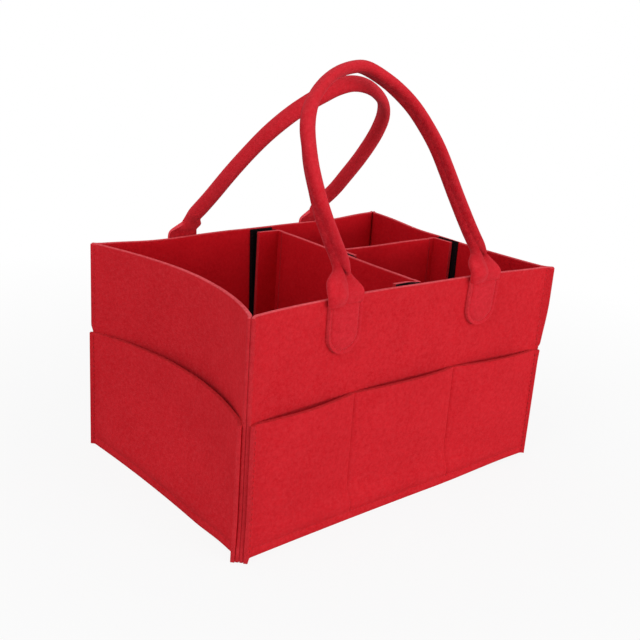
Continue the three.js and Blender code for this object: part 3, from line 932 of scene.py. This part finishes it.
# The bottom panel: a plate with its edge turned down inside the walls
def panel_ring(depth, z):
    """The panel's outline at a depth inside the walls, anticlockwise from the front left corner."""
    runs = []
    for side in (FRONT, RIGHT, BACK, LEFT):
        end = side.along - PANEL_CORNER
        run = [wall_point(side, u, 0, -depth) for u in spread(-end, end, 16)]
        runs.append([Vector((p.x, p.y, z)) for p in run])
    ring = []
    for run, following in zip(runs, runs[1:] + runs[:1]):
        start, end = run[-1], following[0]
        corner = Vector((max(start.x, end.x, key=abs), max(start.y, end.y, key=abs), z))
        bend = [start.lerp(corner, t).lerp(corner.lerp(end, t), t) for t in spread(0, 1, 6)]
        ring += [*run[:-1], *bend[:-1]]
    return ring


def panel_mesh():
    """The panel's flat top, and then the rings of its edge, from the bend down to the floor."""
    panel = bmesh.new()
    middle_depth = GAP - WALL_DEPTH + FELT / 2
    top = panel_ring(middle_depth + PANEL_BEND, PANEL_MIDDLE)
    bmesh.ops.create_circle(panel, cap_ends=True, cap_tris=False, radius=1.0, segments=len(top))
    corners = sorted(panel.verts, key=lambda corner: math.atan2(corner.co.y, corner.co.x) % (2 * math.pi))
    start = min(range(len(top)), key=lambda i: abs(math.atan2(top[i].y, top[i].x)))
    for i, corner in enumerate(corners):
        corner.co = top[(start + i) % len(top)] * MM
    bmesh.ops.inset_region(panel, faces=panel.faces[:], thickness=PANEL_BORDER * MM, use_even_offset=True)
    edge = [e for e in panel.edges if e.is_boundary]
    for extra, z in PANEL_RINGS:
        ring = panel_ring(middle_depth + extra, z)
        turned = bmesh.ops.extrude_edge_only(panel, edges=edge)["geom"]
        edge = [e for e in turned if isinstance(e, bmesh.types.BMEdge) and e.is_boundary]
        for corner in {c for e in edge for c in e.verts}:
            target = min(ring, key=lambda p: (p.xy * MM - corner.co.xy).length_squared)
            corner.co = target * MM
    bmesh.ops.recalc_face_normals(panel, faces=panel.faces)
    return finished_mesh("bottom_panel_felt", panel)


bottom = thicken(new_piece("bottom_panel_felt", panel_mesh(), "felt", felt_face, rim_cut), FELT)
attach(bottom, "caddy")
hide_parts("bottom_panel")


# The handles: one strip of felt from tab to tab. It lies flat on each tab, one side of it folds over at
# each neck, and in between it is rolled up into a tube whose edges meet in a soft seam.
def curve_through(points, steps):
    """Points along a smooth curve through the given ones."""
    padded = [points[0] * 2 - points[1], *points, points[-1] * 2 - points[-2]]
    found = []
    for a, b, c, d in zip(padded, padded[1:], padded[2:], padded[3:]):
        for t in spread(0, 1, steps)[:-1]:
            bent = (a * 2 - b * 5 + c * 4 - d) * t**2 + (b * 3 - a - c * 3 + d) * t**3
            found.append((b * 2 + (c - a) * t + bent) / 2)
    return [*found, points[-1]]


def evenly(points, spacing):
    """The same line with its points at even distances, each with its distance from the start."""
    lengths = [0.0]
    for a, b in zip(points, points[1:]):
        lengths.append(lengths[-1] + (b - a).length)
    found, at = [], 0
    for goal in spread(0, lengths[-1], round(lengths[-1] / spacing)):
        while at < len(points) - 2 and lengths[at + 1] < goal:
            at += 1
        share = (goal - lengths[at]) / (lengths[at + 1] - lengths[at])
        found.append((points[at].lerp(points[at + 1], clamp(share)), goal))
    return found, lengths[-1]


def tab_place(k, stretch=0.0):
    """How far across a tab column k lies, counted from the side that folds over at the neck."""
    if k <= FOLD_COLUMN:
        return lerp(-STRIP / 2, -FOLD_EDGE, (k - TAB_COLUMN) / (FOLD_COLUMN - TAB_COLUMN))
    return lerp(-FOLD_EDGE, STRIP / 2 + stretch, (k - FOLD_COLUMN) / (COLUMNS - FOLD_COLUMN))


def folded(k, rise, stretch):
    """Across and out, for column k of a neck this far above the crease, before the strip rolls up."""
    open_share = smooth(rise / EAR_OPEN)
    bend = lerp(PRESSED_BEND, EAR_BEND, open_share)
    if k < EAR_COLUMN:
        run = 1 - k / EAR_COLUMN
        ear = EAR + EAR_SWELL * math.sin(math.pi * clamp(rise / EAR_HEIGHT))
        puff = EAR_PUFF * math.sin(math.pi * run) * smooth(rise / PUFF_OPEN)
        return ear * run - FOLD_EDGE, 2 * bend + puff - EAR_DOWN * run * run * open_share
    if k <= FOLD_COLUMN:
        turn = math.pi * (k - EAR_COLUMN) / (FOLD_COLUMN - EAR_COLUMN)
        return -FOLD_EDGE - bend * math.sin(turn), bend * (1 + math.cos(turn))
    return tab_place(k, stretch), 0.0


def rolled(i, spin, slim):
    """Across and out, for column i of the rolled-up strip, flattened to slim of its width across."""
    share = 2 * i / COLUMNS - 1
    turn = share * STRIP / 2 / TUBE + spin
    lip = smooth((abs(share) - 1) * STRIP / 2 / LIP_REACH + 1)
    reach = TUBE - SEAM_DIP * lip
    wide = 1 + (1 - slim) * SHOULDER_SPREAD
    return reach * math.sin(turn) * slim, TUBE - reach * math.cos(turn) * wide


def strip_points(side, given):
    """Every row of a handle's strip, from one tab's foot to the other's, and the crease's row from an end.

    foot is -1 at the end where the strip starts, and 1 at the other.
    """
    outs = [bowed(side, u, RIM)[0] + OUTER_DEPTH + FELT / 2 for u in (-TAB_MIDDLE, TAB_MIDDLE)]
    lean = math.asin((sum(outs) / 2 - given.setback) / given.rise)
    base = TAB_TOP + GAP
    arch = [Vector((a * TAB_MIDDLE, h * given.rise, 0)) for a, h in given.shares]
    line, length = evenly(curve_through(arch, 12), ROW_STEP)

    def spun(share):
        return math.radians(between(given.spins, share))

    def section(foot, i, height, spin, slim=1.0):
        """Across and out, for column i of the strip this far above the crease."""
        k = i if foot < 0 else COLUMNS - i
        across, out = folded(k, height, given.shift)
        near = smooth((height - EAR_ROLL_START) / EAR_ROLL)
        far = smooth((height - given.neck_start) / FAR_ROLL)
        roll = lerp(near, far, smooth(k / COLUMNS))
        return [lerp(a, b, roll) for a, b in zip((-foot * across, out), rolled(i, spin, slim))]

    def tab_row(foot, z):
        """A row of the tab, narrower in its round end and pulled in along its stitches."""
        below = TAB_FOOT + STRIP / 2 - z
        narrow = math.sqrt(1 - clamp(below / (STRIP / 2)) ** 2)
        crease = CREASE_PULL * groove(z - TAB_CREASE, CREASE_GROOVE)
        row = []
        for i in range(COLUMNS + 1):
            k = i if foot < 0 else COLUMNS - i
            across = tab_place(max(k, TAB_COLUMN)) * narrow
            inset = STRIP / 2 - math.hypot(across, max(below, 0))
            pull = max(crease, TAB_PULL * groove(inset - TAB_INSET, TAB_GROOVE))
            row.append(wall_point(side, foot * TAB_MIDDLE + given.shift + across, z, OUTER_MIDDLE - pull))
        return row

    def against_wall(foot, i, z, spin):
        """A point of the neck where it still lies against the wall."""
        across, out = section(foot, i, z - TAB_CREASE, spin)
        return wall_point(side, foot * (TAB_MIDDLE - across), z, OUTER_MIDDLE + out)

    def neck_row(foot, z):
        spin = spun(0.0 if foot < 0 else 1.0)
        return [against_wall(foot, i, z, spin) for i in range(COLUMNS + 1)]

    def free_row(index):
        """A row of the arch, which stands free above the rim."""
        place, distance = line[index]
        before, after = line[max(index - 1, 0)][0], line[min(index + 1, len(line) - 1)][0]
        foot = -1 if distance < length / 2 else 1
        height = min(distance, length - distance)
        free = smooth(height / NECK)
        heading = Vector((0, -foot, 0)).lerp((after - before).normalized(), free).normalized()
        tilt = lean * free
        base_out = lerp(outs[0], outs[1], (place.x + TAB_MIDDLE) / (2 * TAB_MIDDLE))
        middle = placed(side, place.x, base_out - place.y * math.sin(lean), base + place.y * math.cos(lean))
        across_way = placed(side, heading.y, heading.x * math.sin(lean), -heading.x * math.cos(lean))
        out_way = placed(side, 0, math.cos(tilt), math.sin(tilt))
        spin, slim = spun(distance / length), between(given.slims, distance / length)
        row = []
        for i in range(COLUMNS + 1):
            across, out = section(foot, i, height + base - TAB_CREASE, spin, slim)
            row.append(middle + across_way * across + out_way * out)
        return row

    def foot_rows(foot):
        return [tab_row(foot, z) for z in tab_heights] + [neck_row(foot, z) for z in neck_heights]

    round_end = spread(math.radians(7), math.pi / 2, 12)
    tab_heights = [TAB_FOOT + STRIP / 2 * (1 - math.cos(a)) for a in round_end]
    tab_heights += spread(tab_heights[-1], TAB_CREASE, 10)[1:]
    neck_heights = [TAB_CREASE + 0.8, *spread(TAB_CREASE + 2, TAB_TOP, 4)]
    points = [*foot_rows(-1), *(free_row(i) for i in range(len(line))), *reversed(foot_rows(1))]
    crease = len(tab_heights) - 1

    # At the crease the neck is wider than the tab by its ear
    for i in range(TAB_COLUMN):
        points[crease][i] = against_wall(-1, i, TAB_CREASE, 0.0)
        points[-1 - crease][COLUMNS - i] = against_wall(1, COLUMNS - i, TAB_CREASE, 0.0)

    # The rows on both sides of the rim are evened out
    foot_count = len(tab_heights) + len(neck_heights)
    for _ in range(3):
        for seam in (foot_count, len(points) - foot_count):
            held = {j: list(points[j]) for j in range(seam - 5, seam + 6)}
            for j in range(seam - 4, seam + 5):
                points[j] = [(a + b * 2 + c) / 4 for a, b, c in zip(held[j - 1], held[j], held[j + 1])]
    return points, crease


def build_handle(label, side):
    points, crease = strip_points(side, HANDLES[label])
    last = len(points) - 1

    def cut_away(i, j):
        """The tabs are narrower than the necks by the ear that folds over."""
        return (j < crease and i < TAB_COLUMN) or (j >= last - crease and i >= COLUMNS - TAB_COLUMN)

    columns, rows = list(range(COLUMNS + 1)), list(range(len(points)))
    mesh = sheet_mesh(f"{label}_handle_strip", columns, rows, lambda i, j: points[j][i], cut_away)
    strip = new_piece(f"{label}_handle_strip", mesh, "felt", strip_face, strip_cut)
    thicken(strip, FELT, STRIP_SOFTNESS, even=False)
    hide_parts(f"{label}_handle_cover", f"{label}_handle_left_tab", f"{label}_handle_right_tab")
    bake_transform(strip)


def tab_outline():
    """Across and up, along the stitches that hold a tab to its wall."""
    reach = STRIP / 2 - TAB_INSET
    low = TAB_FOOT + STRIP / 2
    path = [(-reach, z) for z in spread(TAB_CREASE, low, 8)]
    path += [(-reach * math.cos(a), low - reach * math.sin(a)) for a in spread(0, math.pi, 24)[1:]]
    path += [(reach, z) for z in spread(low, TAB_CREASE, 8)[1:]]
    return path + [(w, TAB_CREASE) for w in spread(reach, -reach, 10)[1:]]


build_handle("front", FRONT)
build_handle("back", BACK)
for label, side, left_sign in (("front", FRONT, -1), ("back", BACK, 1)):
    for name, sign in (("left", left_sign), ("right", -left_sign)):
        u = TAB_MIDDLE * sign + HANDLES[label].shift
        places = [on_wall(side, u + w, z, OUTER_FACE - TAB_PULL) for w, z in tab_outline()]
        stitch_row(f"{label}_handle_{name}_tab_stitches", places, "caddy", stitch=TAB_STITCH)

# The cotton cords inside the rolled handles: the solid cores, squeezed by the felt
for label in HANDLES:
    core = bmesh.new()
    core.from_mesh(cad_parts[f"{label}_handle_core"].data)
    bmesh.ops.remove_doubles(core, verts=core.verts, dist=0.00001)
    core.normal_update()
    for corner, inward in [(corner, -corner.normal) for corner in core.verts]:
        corner.co += inward * CORD_SQUEEZE * MM
    name = f"{label}_handle_cotton"
    cotton_cord = new_piece(name, finished_mesh(name, core), "cotton", cotton)
    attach(cotton_cord, f"{label}_handle")
    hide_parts(f"{label}_handle_core")


# Closure tapes on the walls and on the flaps
def tape_sheet(name, columns, rows, point, material, body, *nodes):
    piece = new_piece(name, sheet_mesh(name, columns, rows, point), "closure_tape", material, material)
    thicken(piece, TAPE, TAPE_SOFTNESS)
    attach(piece, body)
    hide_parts(*nodes)
    return piece


TAPE_REACH = TAPE_INSET + TAPE_WIDTH
LOOP_MIDDLE = WALL_DEPTH - GAP - TAPE / 2
SELVEDGE = 1.8
for label, side, start, end in (
    ("front", FRONT, CROSS_FRONT_X - TAPE_REACH, CROSS_FRONT_X - TAPE_INSET),
    ("back", BACK, TAPE_INSET - CROSS_BACK_X, TAPE_REACH - CROSS_BACK_X),
    ("right", RIGHT, LONG_Y - TAPE_REACH, LONG_Y - TAPE_INSET),
):

    def loop_face(u, z, side=side):
        return wall_point(side, u, z, LOOP_MIDDLE)

    columns, rows = spread(start, end, 10), spread(DIVIDER_FOOT, RIM - 1, 56)
    tape_sheet(
        f"{label}_loop_strip", columns, rows, loop_face, loop_pile, "caddy", f"{label}_loop_tape"
    )
    for name, u in (("near", start + SELVEDGE), ("far", end - SELVEDGE)):
        heights = spread(DIVIDER_FOOT + 2, RIM - 3, 60)
        places = [on_wall(side, u, z, LOOP_MIDDLE - TAPE / 2) for z in heights]
        path = [(point, -normal) for point, normal in places]
        stitch_row(f"{label}_loop_{name}_stitches", path, "caddy", black_thread, TAPE_STITCH)


# The dividers: a panel each, and at each end of it a flap that folds
DIVIDER_ROWS = spread(DIVIDER_FOOT, DIVIDER_TOP, 40)


def along_path(path, radius, step=1.6):
    """A plan path of three points with its corner rounded off."""
    start, corner, end = (Vector((*p, 0)) for p in path)
    back_way, on_way = (start - corner).normalized(), (end - corner).normalized()
    cut = radius / math.tan(back_way.angle(on_way) / 2)
    a, b = corner + back_way * cut, corner + on_way * cut
    bend = [a.lerp(corner, t).lerp(corner.lerp(b, t), t) for t in spread(0, 1, 7)]
    first = spread(0, 1, max(1, round((a - start).length / step)))
    last = spread(0, 1, max(1, round((end - b).length / step)))
    return [*(start.lerp(a, t) for t in first[:-1]), *bend, *(b.lerp(end, t) for t in last[1:])]


def front_lift(y, z):
    """How far the cross divider's front end stands up towards the rim."""
    return FRONT_LIFT * smooth((CROSS_FRONT_Y + 50 - y) / 45) * ramp(z, *DIVIDER_TOP_ZONE)


def front_lean(x, z):
    """How far the cross divider's front flap stands off its wall near the top."""
    return FLAP_LEAN * ramp(z, *LEAN_ZONE) * smooth((CROSS_FRONT_X - CREASE - x) / 8)


def divider_sheet(name, path, body=None, leans=False):
    """A divider's felt along a plan path, with a slightly uneven top edge."""

    def point(place, z):
        top = ramp(z, *DIVIDER_TOP_ZONE)
        rise = ripple(Vector((place.x, place.y, 0)), *DIVIDER_WAVE) * top
        rise += front_lift(place.y, z) - TOP_DROP * top
        return Vector((place.x, place.y + (front_lean(place.x, z) if leans else 0), z + rise))

    # A divider stands inside the caddy, so its felt takes the painted inside shade.
    piece = felt_sheet(name, path, DIVIDER_ROWS, point, shaded_inner_face)
    if body:
        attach(piece, body)
    return piece


def flap_piece(name, start, corner, end, parent, child, *nodes):
    """A flap's felt, which turns round the fold from its divider's end to its tip along the wall."""
    path = along_path((start, corner, end), CREASE)
    piece = divider_sheet(name, path, leans=child == "cross_front_flap")
    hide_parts(*nodes)
    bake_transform(piece)
    return piece


def plan(side, u, depth):
    point = plumb_point(side, u, 0, depth)
    return (point.x, point.y)


# Where the flaps fold, how far they reach, and how far from the folds their panels end
JOIN = 7.0
CREASE_REACH = FELT / 2 + GAP
FLAP_MIDDLE = FLAP_DEPTH + FELT / 2
INNER_OFF = FELT / 2 + GAP + TAPE + GAP + TAPE + GAP + FELT / 2
cross_front_tip = CROSS_FRONT_X - CREASE_REACH - CROSS_FLAP
cross_back_tip = CREASE_REACH + CROSS_FLAP - CROSS_BACK_X
long_tip = LONG_Y - CREASE_REACH - LONG_FLAP
front_corner = (cross_x(CROSS_FRONT_Y + FELT / 2), plan(FRONT, CROSS_FRONT_X, -FLAP_MIDDLE)[1])
back_corner = (cross_x(CROSS_BACK_Y - FELT / 2), plan(BACK, -CROSS_BACK_X, -FLAP_MIDDLE)[1])
inner_corner = (cross_x(LONG_Y) + INNER_OFF, LONG_Y)
outer_corner = (plan(RIGHT, LONG_Y, -FLAP_MIDDLE)[0], LONG_Y)

cross_places = spread(front_corner[1] + JOIN, back_corner[1] - JOIN, 60)
cross_path = [Vector((cross_x(y), y, 0)) for y in cross_places]
cross_flaps = (
    ("front", front_corner, plan(FRONT, cross_front_tip, -FLAP_MIDDLE)),
    ("back", back_corner, plan(BACK, cross_back_tip, -FLAP_MIDDLE)),
)
long_places = spread(inner_corner[0] + JOIN, outer_corner[0] - JOIN, 50)
long_path = [Vector((x, LONG_Y, 0)) for x in long_places]
long_flaps = (
    ("inner", inner_corner, (cross_x(long_tip) + INNER_OFF, long_tip)),
    ("outer", outer_corner, plan(RIGHT, long_tip, -FLAP_MIDDLE)),
)
for divider, path, flaps in (("cross", cross_path, cross_flaps), ("long", long_path, long_flaps)):
    panel = divider_sheet(f"{divider}_divider_felt", path, f"{divider}_divider")
    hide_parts(f"{divider}_divider_panel")
    for (end, corner, tip), start in zip(flaps, (path[0].xy, path[-1].xy)):
        name, flap = f"{divider}_divider_{end}_flap", f"{divider}_{end}_flap"
        flap_piece(f"{name}_felt", start, corner, tip, f"{divider}_divider", flap, name)

# The hook tapes on the flaps that close onto a wall
HOOK_MIDDLE = HOOK_DEPTH + TAPE / 2
for label, side, start, end in (
    ("cross_front", FRONT, cross_front_tip, CROSS_FRONT_X - CREASE_REACH),
    ("cross_back", BACK, CREASE_REACH - CROSS_BACK_X, cross_back_tip),
    ("long_outer", RIGHT, long_tip, LONG_Y - CREASE_REACH),
):

    def hook_face(u, z, side=side):
        point = plumb_point(side, u, z, -HOOK_MIDDLE)
        return point + Vector((0, front_lean(u, z), front_lift(point.y, z))) if side is FRONT else point

    name, columns = f"{label}_hook_strip", spread(start, end, 8)
    tape_sheet(name, columns, DIVIDER_ROWS, hook_face, hook_pile, f"{label}_flap", f"{label}_hook_tape")

# The loop tape on the cross divider, and the long divider's hook tape that closes onto it
CROSS_LOOP_MIDDLE = FELT / 2 + GAP + TAPE / 2
tape_sheet(
    "cross_divider_loop_strip",
    spread(LONG_Y - TAPE_INSET, LONG_Y - TAPE_REACH, 8),
    DIVIDER_ROWS,
    lambda y, z: Vector((cross_x(y) + CROSS_LOOP_MIDDLE, y, z)),
    loop_pile,
    "cross_divider",
    "cross_divider_loop_tape",
)
tape_sheet(
    "long_inner_hook_strip",
    spread(LONG_Y - CREASE_REACH, long_tip, 8),
    DIVIDER_ROWS,
    lambda y, z: Vector((cross_x(y) + CROSS_LOOP_MIDDLE + TAPE + GAP, y, z)),
    hook_pile,
    "long_inner_flap",
    "long_inner_hook_tape",
)


# The floor, the light and the camera
WHITE = (1, 1, 1, 1)
FLOOR_GREY = (0.6, 0.6, 0.6, 1)
SKY_STRENGTH = 0.46
FLOOR_SIZE = 6.0
FLOOR_DROP = 0.2


def empty_tree(owner, output):
    """The owner's own tree with nothing in it but its output."""
    owner.use_nodes = True
    owner.node_tree.nodes.clear()
    return owner.node_tree, node(owner.node_tree, output, (600, 0)).inputs["Surface"]


def glowing(tree, kind, place, strength):
    made = node(tree, kind, place)
    set_inputs(made, {"Color": WHITE, "Strength": strength})
    return made.outputs[0]


def seen_share(tree):
    """1 for the rays that see a surface, and 0 for those by which it lights the others."""
    rays = node(tree, "ShaderNodeLightPath", (-600, 200)).outputs
    seen = math_node(tree, "MAXIMUM", (-400, 200), rays["Is Camera Ray"], rays["Is Glossy Ray"])
    return math_node(tree, "MAXIMUM", (-300, 250), seen, rays["Is Transmission Ray"])


def two_looks(tree, share, lighting, seen, out):
    blend = node(tree, "ShaderNodeMixShader", (300, 0))
    link_all(tree, (share, lighting, seen), blend.inputs)
    tree.links.new(blend.outputs[0], out)


def pale_floor():
    """A floor that is seen as white, all the more so away from the caddy, but lights it as pale grey."""
    made = bpy.data.materials.new("pale studio floor")
    tree, out = empty_tree(made, "ShaderNodeOutputMaterial")
    plain = node(tree, "ShaderNodeBsdfDiffuse", (0, 100))
    plain.inputs["Color"].default_value = FLOOR_GREY
    away = node(tree, "ShaderNodeVectorMath", (-700, 0), operation="LENGTH")
    tree.links.new(coordinates(tree, "Object", (-900, 0)), away.inputs[0])
    white = spaced(tree, (-500, 0), away.outputs["Value"], 0.25, 0.75, 0.9, 1.0)
    share = math_node(tree, "MULTIPLY", (-200, 200), seen_share(tree), white)
    two_looks(tree, share, plain.outputs[0], glowing(tree, "ShaderNodeEmission", (0, -100), 1.0), out)
    return made


def white_sky():
    """A sky that is seen as white, but lights the caddy more weakly."""
    world = bpy.data.worlds.new("studio")
    tree, out = empty_tree(world, "ShaderNodeOutputWorld")
    lighting = glowing(tree, "ShaderNodeBackground", (0, 100), SKY_STRENGTH)
    seen = glowing(tree, "ShaderNodeBackground", (0, -100), 1.0)
    two_looks(tree, seen_share(tree), lighting, seen, out)
    return world


floor_grid = bmesh.new()
bmesh.ops.create_grid(floor_grid, x_segments=2, y_segments=2, size=FLOOR_SIZE)
floor = new_object("studio_floor", finished_mesh("studio_floor", floor_grid))
floor.location = (0, 0, -FLOOR_DROP * MM)
floor.data.materials.append(pale_floor())

bpy.context.scene.world = white_sky()


def soft_lamp(name, place, aim, width, height, power):
    lamp = bpy.data.lights.new(name, "AREA")
    lamp.shape = "RECTANGLE"
    lamp.size = width
    lamp.size_y = height
    lamp.energy = power
    made = new_object(name, lamp)
    made.location = place
    made.rotation_euler = (Vector(aim) - Vector(place)).to_track_quat("-Z", "Y").to_euler()


# Each lamp's place and aim in metres, its width and height, and its power
MIDDLE = (0, 0, 0.12)
LOW_MIDDLE = (0, 0, 0.1)
soft_lamp("front_softbox", (0.6, -1.85, 0.3), MIDDLE, 1.4, 0.5, 15.2)
soft_lamp("front_high_softbox", (0.5, -1.75, 1.2), MIDDLE, 1.2, 0.7, 6.2)
soft_lamp("left_softbox", (-1.9, -0.4, 0.5), MIDDLE, 1.2, 0.7, 4.6)
soft_lamp("left_high_softbox", (-1.7, -0.3, 1.2), MIDDLE, 1.2, 0.9, 9.0)
soft_lamp("overhead_softbox", (0.1, 0.2, 2.0), LOW_MIDDLE, 1.6, 1.6, 7.4)

# The camera, fitted to the caddy's corners in the photograph: its turns in radians, its place in
# millimetres, and its focal length in the photograph's pixels
AZIMUTH, ELEVATION, ROLL = -0.7142943, 0.3120511, 0.0711845
CAMERA_PLACE = (-490.716, -564.088, 362.024)
FOCAL_PIXELS = 907.815
PHOTO_WIDTH = 640
SENSOR = 36.0
level_share = math.cos(ELEVATION)
behind = Vector((math.sin(AZIMUTH) * level_share, -math.cos(AZIMUTH) * level_share, math.sin(ELEVATION)))
level = (-behind).cross(Vector((0, 0, 1))).normalized()
upright = level.cross(-behind)
right_way = level * math.cos(ROLL) + upright * math.sin(ROLL)
up_way = upright * math.cos(ROLL) - level * math.sin(ROLL)
camera_data = bpy.data.cameras.new("photo_camera")
camera_data.sensor_width = SENSOR
camera_data.lens = FOCAL_PIXELS / PHOTO_WIDTH * SENSOR
camera_data.clip_start = 0.01
camera = new_object("photo_camera", camera_data)
stand = Matrix((right_way, up_way, behind)).transposed().to_4x4()
stand.translation = Vector(CAMERA_PLACE) * MM
camera.matrix_world = stand
bpy.context.scene.camera = camera
bpy.context.scene.view_settings.view_transform = "Standard"
